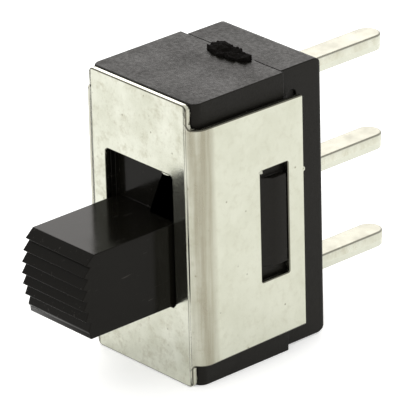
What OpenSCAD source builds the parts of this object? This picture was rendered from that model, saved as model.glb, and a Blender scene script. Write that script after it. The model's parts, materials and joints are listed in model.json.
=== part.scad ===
// Miniature slide switch, one pole with two ways, for a printed circuit board.
// The slider travels along Z and stands at its lower stop. The knob points to -Y and
// the three terminals point to +Y. The origin is the middle of the seating face, which
// lies on the board, and the switch stands on its lower end.

/* [Housing] */
// Length of the housing along the travel
housing_h = 13; // [12.6:0.1:16]
// Width of the front half of the housing
housing_w = 6.5; // [6:0.1:8]
// Depth from the front face to the seating face
housing_d = 7.6; // [7.2:0.1:9.6]
// Thickness of the two long side walls
side_wall = 0.8; // [0.6:0.05:0.95]
// Thickness of the two end walls
end_wall = 0.9; // [0.6:0.05:1]
// Thickness of the floor that holds the terminals
floor_t = 1.5; // [1:0.05:1.9]
// Depth of the narrower rear half, behind the mould's parting line
rear_d = 2.45; // [1.8:0.05:2.6]
// Step in from the front half to the rear half, on each side
rear_step = 0.3; // [0:0.05:0.4]
// Step in from the front half to the rear half, on each end
rear_end_step = 0.06; // [0:0.02:0.2]
// Rounding of the rear half's end edges
rear_edge_r = 0.45; // [0.1:0.05:0.8]
// Height of the broken-off gate stub on the upper end
gate_h = 0.22; // [0.05:0.01:0.4]

/* [Frame] */
// Thickness of the steel sheet
sheet_t = 0.25; // [0.2:0.05:0.4]
// Outer radius of the two long bends
bend_r = 0.7; // [0.6:0.05:1]
// Width of the flat ears above and below the wings
ear_w = 6.15; // [5.6:0.05:6.4]
// Length of a wing along the travel, at its bend
wing_h = 10.9; // [9:0.1:12]
// Depth that a wing reaches back from the front of the frame
wing_d = 6.12; // [5.9:0.02:6.6]
// How much each edge of a wing closes in towards its rear corner
wing_taper = 0.1; // [0:0.02:0.3]
// Length of the catch slot along the travel
slot_h = 5.15; // [4:0.05:6]
// Width of the catch slot
slot_w = 1.57; // [1.2:0.01:1.7]
// Width of the strip of sheet behind the catch slot
slot_strip = 0.9; // [0.6:0.05:1.2]
// Length of the housing's catch along the travel
catch_h = 4.1; // [3:0.1:4.8]

/* [Slider] */
// Distance that the slider travels
travel = 2.2; // [1.6:0.1:2.6]
// Width of the knob
knob_w = 3.95; // [3.4:0.05:4.2]
// Length of the knob along the travel
knob_h = 3.8; // [3:0.1:4.4]
// Reach of the middle grip ridge past the frame
knob_reach = 4.98; // [3.5:0.02:7]
// Number of grip ridges
ridge_n = 7; // [4:1:9]
// Depth of the grooves between the grip ridges
ridge_depth = 0.26; // [0.1:0.02:0.4]
// Radius of the arc on which the crests of the grip ridges lie
grip_r = 4.2; // [3:0.1:9]
// Thickness of the flange behind the window
flange_t = 1; // [0.8:0.05:1.3]

/* [Contacts] */
// Distance between neighbouring terminals
pitch = 4.7; // [4.3:0.05:4.75]
// Length of a terminal past the seating face
terminal_l = 6.05; // [3:0.05:8]
// Width of a terminal's blade
terminal_w = 1.2; // [0.8:0.05:1.5]
// Thickness of a terminal's blade
terminal_t = 0.7; // [0.5:0.05:0.8]
// Width of the terminals' heads, inside the housing
head_w = 2.4; // [2:0.1:2.8]
// Height of the pivot line above the cavity's floor
pivot_h = 0.5; // [0.45:0.05:0.7]
// Thickness of the rocking contact's strip
strip_t = 0.25; // [0.15:0.05:0.35]
// Tilt of each arm of the rocking contact about its middle position, in degrees
rock = 6; // [4:0.5:7]
// Diameter of the plunger
plunger_dia = 1.6; // [1.2:0.1:1.8]
// Diameter of the spring's wire
wire_dia = 0.2; // [0.12:0.02:0.26]
// Number of turns of the spring
spring_turns = 8; // [5:1:9]

/* [Clearances] */
// Gap between a wing and the housing's side
wing_gap = 0.1; // [0.05:0.05:0.2]
// Gap between the catch and the slot's rear edge
catch_gap = 0.05; // [0.02:0.01:0.15]
// Gap between the knob and each side of the window
knob_gap = 0.15; // [0.05:0.05:0.25]
// Gap left between the knob and the window's end at each stop
stop_gap = 0.05; // [0.02:0.01:0.1]
// Gap between the flange and the housing's walls
flange_gap = 0.1; // [0.05:0.05:0.15]
// Gap between the flange and the housing's end walls at each stop
flange_end_gap = 0.3; // [0.15:0.05:0.5]
// Gap between the flange's runners and the back of the frame
runner_gap = 0.05; // [0.02:0.01:0.1]
// Gap round a terminal's blade in the floor
blade_gap = 0.02; // [0.01:0.01:0.05]
// Gap between the rocking contact and what it bears on
contact_gap = 0.02; // [0.01:0.01:0.04]
// Gap between the plunger's nose and the rocking contact
nose_gap = 0.06; // [0.05:0.01:0.1]
// Gap between the plunger and its bore, on the radius
plunger_gap = 0.05; // [0.02:0.01:0.1]
// Gap between the spring and its bore, on the radius
spring_gap = 0.1; // [0.05:0.01:0.15]

/* [Hidden] */
$fn = 48;
// How far a cut runs on past the face that it opens
cut = 0.5;
// How far a solid laps into the one that it is joined to
lap = 0.1;

// Heights, measured along Y from the seating face
back_y = -housing_d;
front_y = back_y - sheet_t;
parting_y = -rear_d;
wing_end_y = front_y + wing_d;
// Height of the flange's runners, with the gap in front of them
runner_h = 0.3;
flange_y = back_y + runner_h;
flange_back_y = flange_y + flange_t;

// Frame
frame_w = housing_w + 2 * (wing_gap + sheet_t);
bend_inner_r = bend_r - sheet_t;
ear_corner_r = 0.25;
relief_r = 0.2;
window_w = knob_w + 2 * knob_gap;
window_h = knob_h + travel + 2 * stop_gap;
window_r = 0.2;
slot_end_y = wing_end_y - slot_strip;
slot_r = 0.08;

// Housing
housing_edge_r = 0.15;
// By how much more the housing's front edges are rounded than the bends are inside
corner_play = 0.05;
front_corner_r = bend_inner_r + corner_play;
rear_w = housing_w - 2 * rear_step;
rear_h = housing_h - 2 * rear_end_step;
rear_corner_r = 0.2;
cavity_w = housing_w - 2 * side_wall;
cavity_h = housing_h - 2 * end_wall;
catch_rear_y = slot_end_y - catch_gap;
catch_flat = 0.7;
catch_ramp = 0.6;
// How far a catch stays inside the wing's outer face
catch_inset = 0.05;
catch_out = frame_w / 2 - catch_inset;
gate_x = 0.1;
gate_y = parting_y - 0.3;
// Shallow round dimples in the housing's sides, half hidden by the wings' rear corners
dimple_r = 0.25;
dimple_depth = 0.15;
dimple_inset = 0.02;
dimple_drop = 0.19;
dimple_y = wing_end_y - dimple_inset;
dimple_z = wing_h / 2 - wing_taper - dimple_drop;

// Slider, at its lower stop
rest_z = -travel / 2;
flange_w = cavity_w - 2 * flange_gap;
flange_h = cavity_h - travel - 2 * flange_end_gap;
// How far a runner stays clear of the window's side
runner_set = 0.02;
runner_w = (flange_w - window_w) / 2 - runner_set;
// Plain foot of the knob, below the last ridge
foot_h = 0.24;
foot_step = 0.04;
foot_bevel = 0.16;
ridge_pitch = (knob_h - foot_h) / ridge_n;
// Share of a ridge's pitch over which it slopes out to its crest
ridge_fall = 0.74;
bore_r = plunger_dia / 2 + plunger_gap;
boss_wall = 0.5;
boss_r = bore_r + boss_wall;
// How far the plunger's bore reaches past the front of the frame, into the knob
bore_reach = 1;
bore_end_y = front_y - bore_reach;

// Contacts
pivot_y = -(floor_t + pivot_h);
// How far the plunger's boss stays clear of the pivot line, for the tilted contact
boss_rise = 1.4;
boss_end_y = pivot_y - boss_rise;
ridge_r = terminal_t / 2;
strip_in = ridge_r + contact_gap;
strip_out = strip_in + strip_t;
strip_w = 3;
// How far an arm runs past the middle of its terminal
arm_past = 0.45;
arm_l = pitch + arm_past;
bead_r = 0.15;
bead_h = 0.1;
lug_t = 0.2;
// Gap below the lugs that keep the contact on its pivot
lug_play = 0.08;
lug_r = pivot_h - lug_play;
lug_neck = 1.5 * lug_r;
end_head_y = pivot_y - strip_in + bead_h + contact_gap;
nose_r = plunger_dia / 2;
nose_y = pivot_y - strip_out - nose_gap - nose_r;
// Length of the plunger from the middle of its nose to its shoulder
plunger_l = 1.8;
plunger_shoulder_y = nose_y - plunger_l;
stem_l = 0.7;
coil_r = bore_r - spring_gap - wire_dia / 2;
// Gap between the plunger's stem and the spring, on the radius
stem_play = 0.15;
stem_r = coil_r - wire_dia / 2 - stem_play;
spring_l = plunger_shoulder_y - bore_end_y;

// ---------------------------------------------------------------- outlines

// A rectangle from y0 to y1 across the Y axis, with its two corners at y0 rounded
module front_rounded(w, y0, y1, r) {
    translate([-w / 2, y0 + r])
        square([w, y1 - y0 - r]);
    translate([r - w / 2, y0])
        square([w - 2 * r, r]);
    for (side = [-1, 1])
        translate([side * (w / 2 - r), y0 + r])
            circle(r);
}

// A centred rectangle with four rounded corners
module rounded_slot(w, h, r) {
    square([w - 2 * r, h], center = true);
    square([w, h - 2 * r], center = true);
    for (x = [-1, 1], y = [-1, 1])
        translate([x * (w / 2 - r), y * (h / 2 - r)])
            circle(r);
}

// Stands an outline drawn in X and Y up into X and Z, and extrudes it along +Y from y0
module along_y(y0, length) {
    translate([0, y0 + length, 0])
        rotate([90, 0, 0])
            linear_extrude(length)
                children();
}

// Turns an outline drawn in Y and Z so that it is extruded along X, centred
module along_x(width) {
    rotate([90, 0, 90])
        linear_extrude(width, center = true)
            children();
}

// ----------------------------------------------------------------- housing

// A block rounded in plan by corner_r and, seen from the side, by edge_r, at its y0 end
module moulded_block(w, h, y0, y1, corner_r, edge_r) {
    intersection() {
        linear_extrude(h, center = true)
            front_rounded(w, y0, y1, corner_r);
        along_x(w)
            rotate(-90)
                front_rounded(h, y0, y1, edge_r);
    }
}

module front_half() {
    moulded_block(housing_w, housing_h, back_y, parting_y, front_corner_r, housing_edge_r);
}

module rear_half() {
    mirror([0, 1, 0])
        moulded_block(rear_w, rear_h, 0, rear_d + cut, rear_corner_r, rear_edge_r);
}

// A wedge on each side wall that the frame's wings snap over
module catches() {
    for (side = [0, 1])
        mirror([side, 0, 0])
            linear_extrude(catch_h, center = true)
                polygon([
                    [housing_w / 2 - lap, catch_rear_y - catch_flat - catch_ramp],
                    [housing_w / 2, catch_rear_y - catch_flat - catch_ramp],
                    [catch_out, catch_rear_y - catch_flat],
                    [catch_out, catch_rear_y],
                    [housing_w / 2 - lap, catch_rear_y]
                ]);
}

// The stub where the moulding was broken off its gate, across the parting line
module gate_stub() {
    stub = [
        [-1.2, 0.35], [-0.75, 0.62], [-0.2, 0.5], [0.45, 0.42], [1.15, 0.28],
        [1.3, 0.02], [0.95, -0.22], [0.2, -0.4], [-0.55, -0.42], [-1.1, -0.2]
    ];
    translate([gate_x, gate_y, housing_h / 2 - rear_end_step])
        linear_extrude(gate_h + rear_end_step)
            polygon(stub);
}

module terminal_slots() {
    for (z = [-pitch, 0, pitch])
        translate([0, -floor_t / 2, z])
            cube([
                terminal_w + 2 * blade_gap,
                floor_t + 2 * cut,
                terminal_t + 2 * blade_gap
            ], center = true);
}

module housing() {
    color("#24221F")
        difference() {
            union() {
                front_half();
                rear_half();
                catches();
                gate_stub();
            }
            translate([-cavity_w / 2, back_y - cut, -cavity_h / 2])
                cube([cavity_w, housing_d - floor_t + cut, cavity_h]);
            terminal_slots();
            for (x = [-1, 1], z = [-1, 1])
                translate([x * rear_w / 2, dimple_y, z * dimple_z])
                    rotate([0, 90, 0])
                        cylinder(r = dimple_r, h = 2 * dimple_depth, center = true);
        }
}

// ------------------------------------------------------------------- frame

// Outside of a corner to be rounded by r, with its rounding centred on the origin
module corner_waste(r) {
    difference() {
        square(r + cut);
        circle(r);
    }
}

// What is trimmed off beside an ear: all above the wing, less a small relief radius
module ear_waste() {
    difference() {
        translate([ear_w / 2, wing_h / 2])
            square([frame_w, housing_h]);
        difference() {
            translate([ear_w / 2, wing_h / 2])
                square(relief_r);
            translate([ear_w / 2 + relief_r, wing_h / 2 + relief_r])
                circle(relief_r);
        }
    }
    translate([ear_w / 2 - ear_corner_r, housing_h / 2 - ear_corner_r])
        corner_waste(ear_corner_r);
}

// The sliver trimmed off a wing's end, so that the wing narrows to the rear
module wing_waste() {
    polygon([
        [front_y + bend_r, wing_h / 2],
        [wing_end_y + cut, wing_h / 2 - wing_taper],
        [wing_end_y + cut, housing_h],
        [front_y + bend_r, housing_h]
    ]);
}

module frame() {
    color("#DDDFCF")
        difference() {
            linear_extrude(housing_h, center = true)
                difference() {
                    front_rounded(frame_w, front_y, wing_end_y, bend_r);
                    front_rounded(frame_w - 2 * sheet_t, back_y, wing_end_y + cut, bend_inner_r);
                }
            along_y(front_y - cut, sheet_t + 2 * cut)
                rounded_slot(window_w, window_h, window_r);
            translate([0, slot_end_y - slot_w / 2, 0])
                along_x(frame_w + 2 * cut)
                    rounded_slot(slot_w, slot_h, slot_r);
            for (x = [0, 1], z = [0, 1])
                mirror([x, 0, 0])
                    mirror([0, 0, z]) {
                        along_y(front_y - cut, wing_d + 2 * cut)
                            ear_waste();
                        translate([frame_w / 2, 0, 0])
                            along_x(2 * bend_r)
                                wing_waste();
                    }
        }
}

// ------------------------------------------------------------------ slider

// Reach of the grip's crests past the frame, at a height above the knob's middle
function crest(z) = knob_reach - grip_r + sqrt(grip_r * grip_r - z * z);

// One ridge's groove and crest, as points of the knob's side view
function ridge(i) =
    let (top = knob_h / 2 - i * ridge_pitch, low = top - ridge_fall * ridge_pitch)
    [[front_y - crest(top) + ridge_depth, top], [front_y - crest(low), low]];

module knob() {
    foot = knob_h / 2 - ridge_n * ridge_pitch;
    along_x(knob_w)
        polygon(concat(
            [[flange_y, -knob_h / 2], [flange_y, knob_h / 2]],
            [for (i = [0:ridge_n - 1]) each ridge(i)],
            [
                [front_y - crest(foot) + foot_step, foot],
                [front_y - crest(foot) + foot_step + foot_bevel, -knob_h / 2]
            ]
        ));
}

// The long plate behind the window, with a runner along each side
module flange() {
    translate([-flange_w / 2, flange_y, -flange_h / 2])
        cube([flange_w, flange_t, flange_h]);
    runner_l = runner_h - runner_gap + lap;
    for (side = [0, 1])
        mirror([side, 0, 0])
            translate([flange_w / 2 - runner_w, back_y + runner_gap, -flange_h / 2])
                cube([runner_w, runner_l, flange_h]);
}

module slider() {
    boss_l = boss_end_y - flange_back_y;
    color("#262420")
        translate([0, 0, rest_z])
            difference() {
                union() {
                    knob();
                    flange();
                    translate([0, boss_end_y, 0])
                        rotate([90, 0, 0])
                            cylinder(r = boss_r, h = boss_l + lap);
                }
                translate([0, boss_end_y + cut, 0])
                    rotate([90, 0, 0])
                        cylinder(r = bore_r, h = boss_end_y + cut - bore_end_y);
            }
}

// A round-nosed pin in the slider's bore, with a stem inside the spring
module plunger() {
    color("#D8D2BE")
        translate([0, nose_y, rest_z]) {
            sphere(nose_r);
            rotate([90, 0, 0])
                cylinder(r = nose_r, h = plunger_l);
            rotate([90, 0, 0])
                cylinder(r = stem_r, h = plunger_l + stem_l);
        }
}

// ------------------------------------------------------------------ spring

wire_sides = 6;
turn_steps = 14;

// Distance along the spring at a number of turns: the end turns lie closed
function coil_rise(turn) =
    let (open = (spring_l - 3 * wire_dia) / (spring_turns - 2))
    wire_dia / 2 + wire_dia * min(turn, 1) + open * max(0, min(turn - 1, spring_turns - 2))
        + wire_dia * max(0, turn - spring_turns + 1);

// A ring of points round the wire
function wire_ring(turn) = [
    for (s = [0:wire_sides - 1])
        let (
            a = 360 * s / wire_sides,
            reach = coil_r + wire_dia / 2 * cos(a)
        )
        [
            reach * cos(360 * turn),
            bore_end_y + coil_rise(turn) + wire_dia / 2 * sin(a),
            reach * sin(360 * turn)
        ]
];

module spring() {
    rings = spring_turns * turn_steps;
    points = [for (i = [0:rings]) each wire_ring(i / turn_steps)];
    sides = [
        for (i = [0:rings - 1], s = [0:wire_sides - 1])
            let (next = (s + 1) % wire_sides, a = i * wire_sides, b = a + wire_sides)
            [a + s, a + next, b + next, b + s]
    ];
    first_end = [for (s = [wire_sides - 1:-1:0]) s];
    last_end = [for (s = [0:wire_sides - 1]) rings * wire_sides + s];
    color("#A9A9A4")
        translate([0, 0, rest_z])
            polyhedron(points, concat([first_end], sides, [last_end]), convexity = 8);
}

// ---------------------------------------------------------------- contacts

// The lower arm of the rocking contact, in the frame of the pivot line
module arm() {
    translate([-strip_w / 2, -strip_out, -arm_l])
        cube([strip_w, strip_t, arm_l]);
    translate([0, bead_h - strip_in - bead_r, -pitch])
        rotate([0, 90, 0])
            cylinder(r = bead_r, h = strip_w, center = true);
}

// A strip with two arms that rocks on the centre terminal, held by a lug on each side
module rocker() {
    color("#C9C6B8")
        translate([0, pivot_y, 0]) {
            arm();
            rotate([2 * rock, 0, 0])
                mirror([0, 0, 1])
                    arm();
            for (side = [-1, 1])
                translate([side * (strip_w - lug_t) / 2, 0, 0]) {
                    rotate([0, 90, 0])
                        cylinder(r = lug_r, h = lug_t, center = true);
                    translate([0, -strip_out / 2, 0])
                        cube([lug_t, strip_out, lug_neck], center = true);
                }
        }
}

// A flat blade with a round tip and a wide head that ends at head_y
module blade(head_y) {
    linear_extrude(terminal_t, center = true) {
        translate([-terminal_w / 2, head_y])
            square([terminal_w, terminal_l - terminal_w / 2 - head_y]);
        translate([0, terminal_l - terminal_w / 2])
            circle(terminal_w / 2);
        translate([-head_w / 2, head_y])
            square([head_w, -floor_t - head_y]);
    }
}

module end_terminal(z) {
    color("#E8E6D4")
        translate([0, 0, z])
            blade(end_head_y);
}

module terminal_upper() {
    end_terminal(pitch);
}

module terminal_lower() {
    end_terminal(-pitch);
}

// The centre terminal, whose head has a round ridge for the rocking contact
module terminal_centre() {
    color("#E8E6D4") {
        blade(pivot_y);
        translate([0, pivot_y, 0])
            rotate([0, 90, 0])
                cylinder(r = ridge_r, h = head_w, center = true);
    }
}

housing();
frame();
slider();
plunger();
spring();
rocker();
terminal_upper();
terminal_centre();
terminal_lower();
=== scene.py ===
import json
import math
from functools import partial

import bmesh
import bpy
from mathutils import Matrix, Vector, noise


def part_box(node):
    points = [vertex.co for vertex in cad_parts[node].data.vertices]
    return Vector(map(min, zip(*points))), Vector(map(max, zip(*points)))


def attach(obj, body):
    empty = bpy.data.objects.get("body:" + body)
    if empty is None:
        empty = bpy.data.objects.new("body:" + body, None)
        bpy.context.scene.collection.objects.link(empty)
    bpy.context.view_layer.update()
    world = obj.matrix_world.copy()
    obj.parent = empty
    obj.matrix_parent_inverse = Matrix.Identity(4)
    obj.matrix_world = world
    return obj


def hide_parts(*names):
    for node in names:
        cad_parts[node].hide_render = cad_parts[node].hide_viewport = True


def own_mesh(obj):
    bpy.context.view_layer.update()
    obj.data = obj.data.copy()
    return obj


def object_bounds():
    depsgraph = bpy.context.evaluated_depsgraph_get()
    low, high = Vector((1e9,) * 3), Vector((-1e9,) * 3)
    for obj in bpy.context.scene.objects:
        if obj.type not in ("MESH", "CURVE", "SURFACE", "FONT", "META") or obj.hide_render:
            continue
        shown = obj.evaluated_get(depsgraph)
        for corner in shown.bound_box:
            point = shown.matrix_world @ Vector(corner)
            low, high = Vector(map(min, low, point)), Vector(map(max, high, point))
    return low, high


bl_info = {
    "name": "Slide switch",
    "version": (1, 0, 0),
    "blender": (4, 5, 0),
    "location": "View3D > Sidebar > Slide switch",
    "description": "Finishes a miniature slide switch: moulded nylon, tinned steel and tinned brass",
    "category": "Add Mesh",
}

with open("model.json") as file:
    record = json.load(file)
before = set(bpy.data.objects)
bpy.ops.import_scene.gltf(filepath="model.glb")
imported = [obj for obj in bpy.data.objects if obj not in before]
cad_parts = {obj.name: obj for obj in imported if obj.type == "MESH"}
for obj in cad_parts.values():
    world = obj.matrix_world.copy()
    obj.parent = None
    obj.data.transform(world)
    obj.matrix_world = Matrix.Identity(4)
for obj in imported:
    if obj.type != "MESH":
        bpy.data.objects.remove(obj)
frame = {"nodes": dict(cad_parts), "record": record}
CAD_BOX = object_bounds()
MM = 0.001
NEAR = 0.001 * MM  # Places this near to each other count as one
WELD = 0.0005 * MM  # Points this near to each other are merged
X, Y, Z = 0, 1, 2
MATH, RANGE, MIX = "ShaderNodeMath", "ShaderNodeMapRange", "ShaderNodeMixRGB"
NOISE, CELLS, BUMP = "ShaderNodeTexNoise", "ShaderNodeTexVoronoi", "ShaderNodeBump"


# ---- measures


def points(node):
    """The places of a CAD node's vertices."""
    return [v.co for v in frame["nodes"][node].data.vertices]


def span(node, axis, where=None):
    """The lowest and highest place of a CAD node along an axis, of the vertices that pass a test."""
    places = [p[axis] for p in points(node) if where is None or where(p)]
    return min(places), max(places)


def home(node):
    """The body that a CAD node belongs to, and the record's material slot of that node."""
    bodies = frame["record"]["behaviour"]["bodies"]
    body = next(name for name, nodes in bodies.items() if node in nodes)
    slot = next(part["material_slot"] for part in frame["record"]["subparts"] if part["node"] == node)
    return body, slot


FRAME_LOW, FRAME_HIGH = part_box("frame")
HOUSING_LOW, HOUSING_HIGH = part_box("housing")
FLOOR_Z = CAD_BOX[0].z
KNOB_Z = span("slider", Z, lambda p: p.y < FRAME_LOW.y)
KNOB_X = span("slider", X, lambda p: p.y < FRAME_LOW.y)


# ---- settings


def length(name, text, size):
    """A size in metres, given in millimetres, as the panel shows it."""
    return bpy.props.FloatProperty(
        name=name, description=text, default=size * MM, min=0, unit="LENGTH", precision=6)


def share(name, text, value):
    """A plain number from 0 to 1, as the panel shows it."""
    return bpy.props.FloatProperty(
        name=name, description=text, default=value, min=0, max=1, subtype="FACTOR")


def linear(code):
    """The linear colour of an sRGB hex code such as #80FF00."""
    parts = [int(code[i:i + 2], 16) / 255 for i in (1, 3, 5)]
    return [c / 12.92 if c <= 0.04045 else ((c + 0.055) / 1.055) ** 2.4 for c in parts]


def colour(name, text, code):
    """A colour, given as an sRGB hex code, as the panel shows it."""
    return bpy.props.FloatVectorProperty(
        name=name, description=text, default=linear(code), min=0, max=1, size=3, subtype="COLOR")


class HousingSettings(bpy.types.PropertyGroup):
    edge: length("Edge radius", "Rounding of the moulding's edges", 0.05)
    grain: length("Mould grain", "Size of the grain that the spark-eroded mould leaves", 0.07)
    gate_rough: length("Gate roughness", "Depth of the torn surface where the gate broke off", 0.09)
    pocket: length("Gate pocket", "Depth of the pocket below the torn stub", 0.12)
    parting: length("Parting groove", "Width and depth of the groove along the parting line", 0.12)
    body: colour("Nylon", "Colour of the moulded nylon", "#0D0C09")
    dust: colour("Dust", "Colour of the specks of dust on the nylon", "#8A857C")


class FrameSettings(bpy.types.PropertyGroup):
    edge: length("Edge radius", "Rounding of the blanked sheet's edges", 0.05)
    bend: length("Bend radius", "Outer radius of the two long bends", 0.7)
    tin: colour("Tin", "Colour of the bright tin plate", "#CDCEC1")
    # This dull tone also paints the shade on the wings
    dull: colour("Dull tin", "Colour of the duller patches in the plate", "#B9BAAA")
    burr: length("Burr length", "Length of the slivers that the blanking tool tore up", 0.25)
    # Painted reflection: this colour draws the grey bands at the bends, which stand in for the darker
    # surroundings that the curved sheet mirrors
    streak: colour("Streaks", "Colour of the marks that the bending tool leaves", "#8C8775")


class SliderSettings(bpy.types.PropertyGroup):
    edge: length("Edge radius", "Rounding of the knob's edges", 0.035)
    ridges: bpy.props.IntProperty(
        name="Ridges", description="Number of grip ridges", default=7, min=4, max=9)
    depth: length("Groove depth", "Depth of the grooves between the ridges", 0.26)
    arc: length("Grip radius", "Radius of the arc on which the ridges' crests lie", 4.2)
    foot: length("Foot", "Height of the plain foot below the last ridge", 0.24)
    step: length("Foot step", "How far the foot stands back from the last crest", 0.04)
    upright: share("Upright foot", "Share of the foot's height over which it leans in no further", 0.75)
    fall: share("Slope", "Share of a ridge's pitch over which it slopes out to its crest", 0.74)
    body: colour("Acetal", "Colour of the moulded acetal", "#0F0E0B")
    scuff: colour("Scuffs", "Colour of the scuffs and specks on the acetal", "#8E8983")


class TerminalSettings(bpy.types.PropertyGroup):
    roll: length("Die roll", "Rounding that the punch leaves at the upper edges", 0.07)
    fracture: length("Fracture step", "How far the broken lower half of a cut edge stands in", 0.03)
    tin: colour("Tin", "Colour of the tin plate on the brass", "#98978B")
    side: colour("Cut side", "Colour of the broken band of a cut edge", "#CFD0C2")
    cut: colour("Burnish", "Colour of the burnished band of a cut edge", "#B9B7A5")


class SpringSettings(bpy.types.PropertyGroup):
    wire: length("Wire", "Diameter of the spring's wire", 0.2)
    turns: bpy.props.IntProperty(
        name="Turns", description="Number of turns, of which the two end ones lie closed",
        default=8, min=5, max=12)
    steel: colour("Steel", "Colour of the drawn spring wire", "#A9A9A4")


class StageSettings(bpy.types.PropertyGroup):
    size: length("Floor size", "Side of the square floor", 900)
    floor: colour("Floor", "Colour of the pale floor", "#F4F4F2")
    glow: share("Floor glow", "Brightness of the light from below the opal floor", 0.4)
    world: bpy.props.FloatProperty(
        name="Surround", description="Brightness of the white room round the floor", default=1.1, min=0)
    key: bpy.props.FloatProperty(
        name="Back light", description="Power of the broad light behind the switch", default=1.0, min=0,
        unit="POWER")


class SwitchSettings(bpy.types.PropertyGroup):
    housing: bpy.props.PointerProperty(type=HousingSettings)
    frame: bpy.props.PointerProperty(type=FrameSettings)
    slider: bpy.props.PointerProperty(type=SliderSettings)
    terminal: bpy.props.PointerProperty(type=TerminalSettings)
    spring: bpy.props.PointerProperty(type=SpringSettings)
    stage: bpy.props.PointerProperty(type=StageSettings)


# ---- node trees


def add(tree, kind, inputs=None, **settings):
    """Adds a node, sets its settings, and fills each input from a value, a socket or another node."""
    made = tree.nodes.new(kind)
    for name, value in settings.items():
        setattr(made, name, value)
    for name, value in (inputs or {}).items():
        if isinstance(value, bpy.types.Node):
            value = value.outputs[0]
        if isinstance(value, bpy.types.NodeSocket):
            tree.links.new(value, made.inputs[name])
        else:
            made.inputs[name].default_value = value
    return made


def shape_tree(name, **inputs):
    """A Geometry Nodes tree with named inputs, each a socket kind, and the node that holds them."""
    tree = bpy.data.node_groups.new(name, "GeometryNodeTree")
    tree.interface.new_socket("Geometry", in_out="OUTPUT", socket_type="NodeSocketGeometry")
    for label, kind in inputs.items():
        tree.interface.new_socket(label, in_out="INPUT", socket_type="NodeSocket" + kind)
    return tree, add(tree, "NodeGroupInput").outputs


def shape_end(tree, geometry, material):
    """Ends a shape tree: nothing stays an instance, and every face has the material."""
    real = add(tree, "GeometryNodeRealizeInstances", {"Geometry": geometry})
    dressed = add(tree, "GeometryNodeSetMaterial", {"Geometry": real, "Material": material})
    add(tree, "NodeGroupOutput", {"Geometry": dressed})


def finish_material(name, base, roughness, **constants):
    """A material, what adds a node to its tree, its Principled surface and the Object coordinates."""
    material = bpy.data.materials.new(name)
    material.use_nodes = True
    tree = material.node_tree
    tree.nodes.clear()
    inputs = {"Base Color": (*base, 1), "Roughness": roughness}
    inputs.update({key.replace("_", " "): value for key, value in constants.items()})
    surface = add(tree, "ShaderNodeBsdfPrincipled", inputs)
    add(tree, "ShaderNodeOutputMaterial", {"Surface": surface})
    return material, partial(add, tree), surface, add(tree, "ShaderNodeTexCoord").outputs["Object"]


def dress(surface, **sources):
    """Links the first output of each node to the input of the surface that it is named for."""
    for name, source in sources.items():
        surface.id_data.links.new(source.outputs[0], surface.inputs[name.replace("_", " ")])


def per(size):
    """The scale at which a pattern's features measure a size in millimetres."""
    return 1 / (size * MM)


# ---- meshes


def welded(node):
    """A copy of a CAD node's mesh whose loose triangles are merged into whole flat faces."""
    work = bmesh.new()
    work.from_mesh(frame["nodes"][node].data)
    bmesh.ops.remove_doubles(work, verts=work.verts, dist=WELD)
    bmesh.ops.dissolve_limit(
        work, angle_limit=math.radians(1), verts=work.verts[:], edges=work.edges[:])
    return plain(work, node + "_copy")


def plain(work, name):
    """Turns a bmesh into a mesh with only its shape, and frees it."""
    work.verts.index_update()
    points = [v.co.copy() for v in work.verts]
    faces = [[v.index for v in f.verts] for f in work.faces]
    work.free()
    mesh = bpy.data.meshes.new(name)
    mesh.from_pydata(points, [], faces)
    mesh.update()
    return mesh


def in_scene(name, data):
    """A new object of a mesh, a light or a camera, in the scene."""
    made = bpy.data.objects.new(name, data)
    bpy.context.scene.collection.objects.link(made)
    return made


def settled(work):
    """The plain mesh that an object's modifiers make; the object itself is removed."""
    graph = bpy.context.evaluated_depsgraph_get()
    result = bpy.data.meshes.new_from_object(work.evaluated_get(graph))
    bpy.data.objects.remove(work)
    return result


def skin(work, rings):
    """Adds a closed skin over a stack of rings of points, with a cap at each end."""
    rows = [[work.verts.new(point) for point in ring] for ring in rings]
    for row, beyond in zip(rows, rows[1:]):
        for i, corner in enumerate(row):
            j = (i + 1) % len(row)
            work.faces.new((corner, row[j], beyond[j], beyond[i]))
    work.faces.new(rows[0])
    work.faces.new(rows[-1][::-1])


def outward(work, name):
    """Turns a bmesh of closed skins into a mesh whose faces point outwards."""
    bmesh.ops.recalc_face_normals(work, faces=work.faces)
    return plain(work, name)


def shaped(mesh, *steps):
    """The mesh after a stack of modifiers, each a kind and its settings, with none left on."""
    work = in_scene("work", mesh)
    for kind, settings in steps:
        modifier = work.modifiers.new(kind, kind)
        for name, value in settings.items():
            setattr(modifier, name, value)
    return settled(work)


def grown(tree, **values):
    """The plain mesh that a Geometry Nodes tree makes from its named inputs."""
    work = in_scene("work", bpy.data.meshes.new(tree.name))
    modifier = work.modifiers.new("shape", "NODES")
    modifier.node_group = tree
    for item in tree.interface.items_tree:
        if item.in_out == "INPUT":
            modifier[item.identifier] = values[item.name]
    result = settled(work)
    if not result.polygons:
        raise RuntimeError(tree.name + " made no faces")
    return result


def rounded(mesh, radius, segments=3, angle=30):
    """The mesh with its edges rounded, which the attribute rim marks, and its flats shaded flat."""
    mesh.materials.clear()
    for _ in ("flat", "rim"):
        mesh.materials.append(None)
    result = shaped(mesh, ("BEVEL", {
        "width": radius, "segments": segments, "limit_method": "ANGLE", "material": 1,
        "angle_limit": math.radians(angle), "use_clamp_overlap": False, "loop_slide": True}))
    result.shade_smooth()
    result = shaped(result, ("WEIGHTED_NORMAL", {"keep_sharp": True, "weight": 100}))
    rim = result.attributes.new("rim", "FLOAT", "FACE")
    for face in result.polygons:
        rim.data[face.index].value = face.material_index
        face.material_index = 0
    return result


def joined(mesh, other, operation):
    """The mesh joined with another one, or cut by it."""
    tool = in_scene("tool", other)
    result = shaped(mesh, ("BOOLEAN", {"operation": operation, "solver": "EXACT", "object": tool}))
    bpy.data.objects.remove(tool)
    return result


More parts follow.
